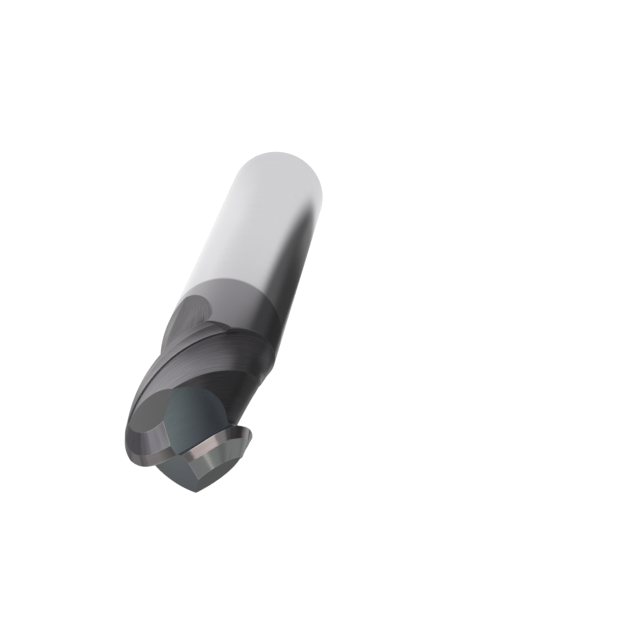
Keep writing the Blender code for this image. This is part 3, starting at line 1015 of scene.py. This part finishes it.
@dataclass(frozen=True)
class GradedCard:
    """Card round the tool's foot, glowing in soft greys of painted light and a dark wedge of painted shadow,
    that only the bright metal mirrors.

    Places are millimetres from the tool's axis: near, towards the camera's side, behind, its
    opposite, aside, to the camera's right, left, its opposite, and away, in any direction.
    A tone of 1 is white.
    """

    inner: float = 2.7              # radius of the first ring
    growth: float = 1.14            # each ring's radius over the one before
    rings: int = 49
    spokes: int = 96
    lift: float = 0.05              # height over the floor

    # Painted light outside the wedge: a white pool round the foot that greys away from it
    in_front: Ramp = Ramp(8.0, 18.0, 1.0, 0.36)             # near: white at the foot, then grey
    turned: tuple[float, float, float] = (-8.0, 0.4, -6.4)  # it starts later on the left: from, rate, most
    at_back: Ramp = Ramp(5.0, 10.0, 1.0, 0.38)              # behind: grey
    white_right: Ramp = Ramp(15.0, 12.0)                    # aside: but white on the right
    white_until: Ramp = Ramp(16.0, 10.0, 1.0, 0.0)          # behind
    outskirts: Ramp = Ramp(0.0, 1.0, 0.4, 0.75)             # aside / away: tone of the far card
    outskirts_back: Ramp = Ramp(0.45, 0.3, 0.0, 0.25)       # behind / away: lighter at the back
    outskirts_left: Ramp = Ramp(0.0, 0.25)                  # left / away
    outskirts_fade: Ramp = Ramp(250.0, 200.0, 1.0, 0.6)     # away, on the left
    outskirts_from: Ramp = Ramp(35.0, 60.0)                 # away
    level: Ramp = Ramp(12.0, 60.0, 1.05, 0.95)              # away
    glow_from: Ramp = Ramp(2.0, 4.0, 0.0, 0.2)              # left: a patch of painted light beside the foot
    glow_until: Ramp = Ramp(10.0, 5.0, 1.0, 0.0)            # left
    glow_front: Ramp = Ramp(4.0, 5.0, 1.0, 0.0)             # near

    # The dark wedge on the right, painted shadow, starts at a border, which opens towards the front and the
    # back
    border: float = 3.2
    border_front: float = 0.60                              # aside for each mm near
    border_most: tuple[float, float, float] = (8.8, 8.0, 0.072)     # most, bends back from, how fast
    border_back: tuple[float, float] = (4.7, 0.92)          # opens from, aside for each mm behind
    softness: tuple[float, float, float] = (1.2, 0.35, 20.0)        # least, for each mm away, until
    softness_front: tuple[float, float] = (8.0, 0.3)        # from, for each mm near
    wedge_from: Ramp = Ramp(3.9, 0.8)                       # away: light round the foot
    wedge_ends: Ramp = Ramp(24.0, 10.0)                     # away
    wedge_ends_back: Ramp = Ramp(4.0, 8.0)                  # behind
    wedge_pales: Ramp = Ramp(250.0, 300.0, 0.0, 0.4)        # away
    wedge_pales_front: Ramp = Ramp(0.4, 0.25)               # near / away

    # Tone in the middle of the wedge
    darkest: float = 0.06
    darkest_front: Ramp = Ramp(0.0, 4.5, 0.0, 0.09)         # near
    darkest_foot: Ramp = Ramp(6.0, 3.0, 0.05, 0.0)          # away
    front_lift: Ramp = Ramp(12.0, 10.0, 0.0, 0.15)          # near
    front_lift_until: Ramp = Ramp(4.0, 8.0, 1.0, 0.0)       # aside
    foot_lift: Ramp = Ramp(-1.3, 2.0, 0.0, 0.15)            # behind
    foot_lift_until: Ramp = Ramp(5.7, 1.8, 1.0, 0.0)        # away
    back_lift: Ramp = Ramp(-3.0, 6.0, 0.0, 0.15)            # behind
    back_lift_from: Ramp = Ramp(15.0, 9.0)                  # away
    back_lift_until: Ramp = Ramp(35.0, 20.0, 1.0, 0.1)      # away

    def _painted_light_outside_wedge(self, near: float, aside: float, away: float) -> float:
        """Painted light outside the wedge.

        Args:
            near: Millimetres towards the camera's side.
            aside: Millimetres to the camera's right.
            away: Millimetres from the axis.

        Returns:
            The tone, where 1 is white.
        """
        start, rate, most = self.turned
        grey = self.in_front.at(near + max(rate * min(aside - start, 0.0), most))
        white = self.white_right.at(aside) * self.white_until.at(-near)
        grey *= eased(self.at_back.at(-near), 1.0, white)
        far = self.outskirts.at(aside / away)
        far += self.outskirts_back.at(-near / away) * self.outskirts_left.at(-aside / away)
        if aside < 0.0:
            far *= self.outskirts_fade.at(away)
        grey = max(grey, far * self.outskirts_from.at(away)) * self.level.at(away)
        glow = self.glow_from.at(-aside) * self.glow_until.at(-aside) * self.glow_front.at(near)
        return grey * (1.0 + glow)

    def _wedge(self, near: float, aside: float, away: float) -> float:
        """How far a place lies in the dark wedge of painted shadow.

        Args:
            near: Millimetres towards the camera's side.
            aside: Millimetres to the camera's right.
            away: Millimetres from the axis.

        Returns:
            0 outside, 1 inside, and between at its soft rim.
        """
        if near > 0.0:
            most, bends, fast = self.border_most
            border = min(self.border + self.border_front * near, most - fast * max(near - bends, 0.0) ** 2)
        else:
            opens, rate = self.border_back
            border = self.border + rate * max(-near - opens, 0.0)
        least, rate, until = self.softness
        start, front = self.softness_front
        soft = least + rate * min(away, until) + front * max(near - start, 0.0)
        inside = eased(0.0, 1.0, (aside - border) / soft + 0.5) * self.wedge_from.at(away)
        inside *= 1.0 - self.wedge_ends.at(away) * self.wedge_ends_back.at(-near)
        return inside * (1.0 - self.wedge_pales.at(away) * self.wedge_pales_front.at(near / away))

    def _in_wedge(self, near: float, aside: float, away: float) -> float:
        """Tone of the painted shadow inside the wedge.

        Args:
            near: Millimetres towards the camera's side.
            aside: Millimetres to the camera's right.
            away: Millimetres from the axis.

        Returns:
            The tone, where 1 is white.
        """
        grey = self.darkest + self.darkest_front.at(near) + self.darkest_foot.at(away)
        grey += self.front_lift.at(near) * self.front_lift_until.at(aside)
        grey += self.foot_lift.at(-near) * self.foot_lift_until.at(away)
        return grey + self.back_lift.at(-near) * self.back_lift_from.at(away) * self.back_lift_until.at(away)

    def tone(self, near: float, aside: float) -> float:
        """Tone of the card at a place.

        Args:
            near: Millimetres towards the camera's side.
            aside: Millimetres to the camera's right.

        Returns:
            The tone, where 1 is white.
        """
        away = math.hypot(near, aside)
        # Painted light outside the wedge, darkened by the wedge's painted shadow
        paper = self._painted_light_outside_wedge(near, aside, away)
        return paper + (self._in_wedge(near, aside, away) - paper) * self._wedge(near, aside, away)

    def build(self) -> None:
        """Lay the card in rings that widen outwards, paint its light and shade on it and let only
        reflections see it.
        """
        deselect_all()
        bpy.ops.mesh.primitive_circle_add(vertices=self.spokes, radius=self.inner * MM,
                                          location=(0.0, 0.0, self.lift * MM),
                                          fill_type="NOTHING", calc_uvs=False)
        card = bpy.context.object
        card.name = "graded_card"
        bpy.ops.object.mode_set(mode="EDIT")
        bpy.ops.mesh.select_all(action="SELECT")
        for _ in range(self.rings - 1):
            bpy.ops.mesh.extrude_region_move()
            bpy.ops.transform.resize(value=(self.growth, self.growth, 1.0),
                                     center_override=(0.0, 0.0, 0.0))
        bpy.ops.object.mode_set(mode="OBJECT")
        near, aside = Vector(NEAR), Vector(ASIDE)
        # The tones are painted light and shade for the metal to mirror
        tones = card.data.attributes.new("painted_light_and_shade", "FLOAT", "POINT")
        for spot, vertex in zip(tones.data, card.data.vertices):
            spot.value = self.tone(vertex.co.dot(near) / MM, vertex.co.dot(aside) / MM)
        made = bpy.data.materials.new("glowing_card_of_painted_reflections")
        made.use_nodes = True
        painted_tone = add_node(made, "ShaderNodeAttribute", {"attribute_name": "painted_light_and_shade"})
        # The card glows with its painted tones, though it is no lamp
        glow = add_node(made, "ShaderNodeEmission", {"Color": (1.0, 1.0, 1.0, 1.0)},
                        Strength=painted_tone.outputs["Fac"])
        made.node_tree.links.new(glow.outputs["Emission"],
                                 made.node_tree.nodes["Material Output"].inputs["Surface"])
        card.data.materials.append(made)
        card.visible_camera = card.visible_shadow = card.visible_diffuse = False


@dataclass(frozen=True)
class Softbox:
    """Square softbox, turned to the tool's head."""

    name: str
    heading_deg: float          # from the camera's side round to the right
    elevation_deg: float        # above the head
    brightness: float           # how bright its front looks, where 1 is white
    colour: str                 # sRGB
    distance: float = 0.25      # metres from the head
    side: float = 0.17          # metres

    @property
    def way(self) -> Vector:
        """Way from the head to the lamp.

        Returns:
            A vector of length 1.
        """
        heading, elevation = math.radians(self.heading_deg), math.radians(self.elevation_deg)
        level = Vector(NEAR) * math.cos(heading) + Vector(ASIDE) * math.sin(heading)
        return level * math.cos(elevation) + Vector((0.0, 0.0, math.sin(elevation)))

    def hang(self, head: Vector) -> None:
        """Hang the lamp, turned to the tool's head.

        Args:
            head: Place of the tool's head, in metres.
        """
        deselect_all()
        bpy.ops.object.light_add(type="AREA", location=head + self.way * self.distance,
                                 rotation=self.way.to_track_quat("Z", "Y").to_euler())
        lamp = bpy.context.object
        lamp.name = self.name
        lamp.data.shape = "SQUARE"
        lamp.data.size = self.side
        lamp.data.energy = self.brightness * math.pi * self.side * self.side
        lamp.data.color = linear(self.colour)[:3]


SOFTBOXES = (Softbox("softbox_left", -88.0, 36.0, 0.45, "ffffff"),
             Softbox("softbox_right", 107.0, 38.0, 1.15, "fff2ee"))


@dataclass(frozen=True)
class PhotoCamera:
    """Camera where the photograph was taken, for a frame of 640 by 640 pixels."""

    place: tuple[float, float, float] = (-18.02805358, -37.22228371, 155.92846103)      # mm
    rightwards: tuple[float, float, float] = (-0.9927, 0.0951, -0.0742)
    backwards: tuple[float, float, float] = (-0.0983, -0.2812, 0.9546)
    focal_px: float = 2459.63
    frame_px: float = 640.0
    sensor: float = 36.0                # mm
    clip: tuple[float, float] = (0.01, 10.0)            # metres

    def stand(self) -> None:
        """Stand the camera and make it the scene's."""
        right, back = Vector(self.rightwards).normalized(), Vector(self.backwards).normalized()
        up = back.cross(right).normalized()
        right = up.cross(back)
        lens = bpy.data.cameras.new("photo_camera")
        camera = bpy.data.objects.new("photo_camera", lens)
        bpy.context.scene.collection.objects.link(camera)
        turn = Matrix((right, up, back)).transposed().to_4x4()
        camera.matrix_world = Matrix.Translation(Vector(self.place) * MM) @ turn
        lens.sensor_width = self.sensor
        lens.lens = self.sensor * self.focal_px / self.frame_px
        lens.clip_start, lens.clip_end = self.clip
        bpy.context.scene.camera = camera


@dataclass
class Studio:
    """Plain pale floor, a glowing card of painted reflections, soft light and the photograph's camera.

    Levels are shares of white.  A height is the cosine against straight up, and a side the
    cosine against the way between the camera and its right.
    """

    floor_side: float = 4.0
    paper: str = "f4f4f4"               # sRGB
    paper_roughness: float = 0.9
    floor_glow: float = 1.12            # white of the floor to the camera
    shadow_left: float = 0.85           # share of that glow, so that the shadow keeps the rest
    head: tuple[float, float, float] = (0.0, 0.0, 46.0)             # mm
    walls: tuple[float, float, float, float] = (0.03, 0.16, 0.2, 0.7)       # heights, then levels
    lit_walls: tuple[float, float, float, float] = (0.75, 0.45, 0.0, 0.5)   # sides, then levels
    ceiling: tuple[float, float, float, float] = (0.6, 0.9, 0.0, 0.4)       # heights, then darker by

    def build(self) -> None:
        """Lay the floor and the card, hang the lamps and stand the camera."""
        self._floor()
        GradedCard().build()
        self._world()
        head = Vector(self.head) * MM
        for lamp in SOFTBOXES:
            lamp.hang(head)
        PhotoCamera().stand()

    def _floor(self) -> None:
        """White paper floor that keeps the tool's shadow."""
        deselect_all()
        bpy.ops.mesh.primitive_plane_add(size=self.floor_side)
        floor = bpy.context.object
        floor.name = "floor"
        made = bpy.data.materials.new("matt_white_paper")       # gives a plain, shadow-soft white
        made.use_nodes = True
        shader = made.node_tree.nodes["Principled BSDF"]
        shader.inputs["Base Color"].default_value = linear(self.paper)
        shader.inputs["Roughness"].default_value = self.paper_roughness
        rays = add_node(made, "ShaderNodeLightPath")
        glow = add_node(made, "ShaderNodeEmission", {"Color": (1.0, 1.0, 1.0, 1.0),
                                                     "Strength": self.floor_glow})
        share = add_node(made, "ShaderNodeMath", {"operation": "MULTIPLY", 1: self.shadow_left},
                         i0=rays.outputs["Is Camera Ray"])
        mix = add_node(made, "ShaderNodeMixShader", None, i0=share.outputs[0],
                       i1=shader.outputs["BSDF"], i2=glow.outputs["Emission"])
        made.node_tree.links.new(mix.outputs[0], made.node_tree.nodes["Material Output"].inputs["Surface"])
        floor.data.materials.append(made)

    def _world(self) -> None:
        """Even studio light from all round, white where the camera looks past the floor."""
        world = bpy.data.worlds.new("studio")
        world.use_nodes = True
        bpy.context.scene.world = world
        back = world.node_tree.nodes["Background"]
        back.inputs["Color"].default_value = (1.0, 1.0, 1.0, 1.0)
        way = add_node(world, "ShaderNodeTexCoord")
        height = add_node(world, "ShaderNodeSeparateXYZ", None, Vector=way.outputs["Generated"])
        turned = add_node(world, "ShaderNodeVectorMath", {"operation": "DOT_PRODUCT",
                                                          1: (Vector(NEAR) + Vector(ASIDE)).normalized()},
                          i0=way.outputs["Generated"])
        low, lit, high = (
            add_node(world, "ShaderNodeMapRange", dict(zip(("From Min", "From Max", "To Min", "To Max"),
                                                           values)), Value=source).outputs["Result"]
            for values, source in ((self.walls, height.outputs["Z"]),
                                   (self.lit_walls, turned.outputs["Value"]),
                                   (self.ceiling, height.outputs["Z"])))
        room = add_node(world, "ShaderNodeMath", {"operation": "MAXIMUM"}, i0=low, i1=lit)
        sky = add_node(world, "ShaderNodeMath", {"operation": "SUBTRACT"}, i0=room.outputs[0], i1=high)
        rays = add_node(world, "ShaderNodeLightPath")
        level = add_node(world, "ShaderNodeMath", {"operation": "MAXIMUM"}, i0=sky.outputs[0],
                         i1=rays.outputs["Is Camera Ray"])
        world.node_tree.links.new(level.outputs[0], back.inputs["Strength"])


def main() -> None:
    """Build the tool and its studio, and say what was made."""
    bpy.context.scene.view_settings.view_transform = "Standard"
    mill = EndMill().build()
    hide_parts("end_mill")
    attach(mill, "root")
    triangles = sum(len(face.vertices) - 2 for face in mill.data.polygons)
    log.info("%s: %d triangles", mill.name, triangles)
    Studio().build()


if __name__ == "__main__":
    main()
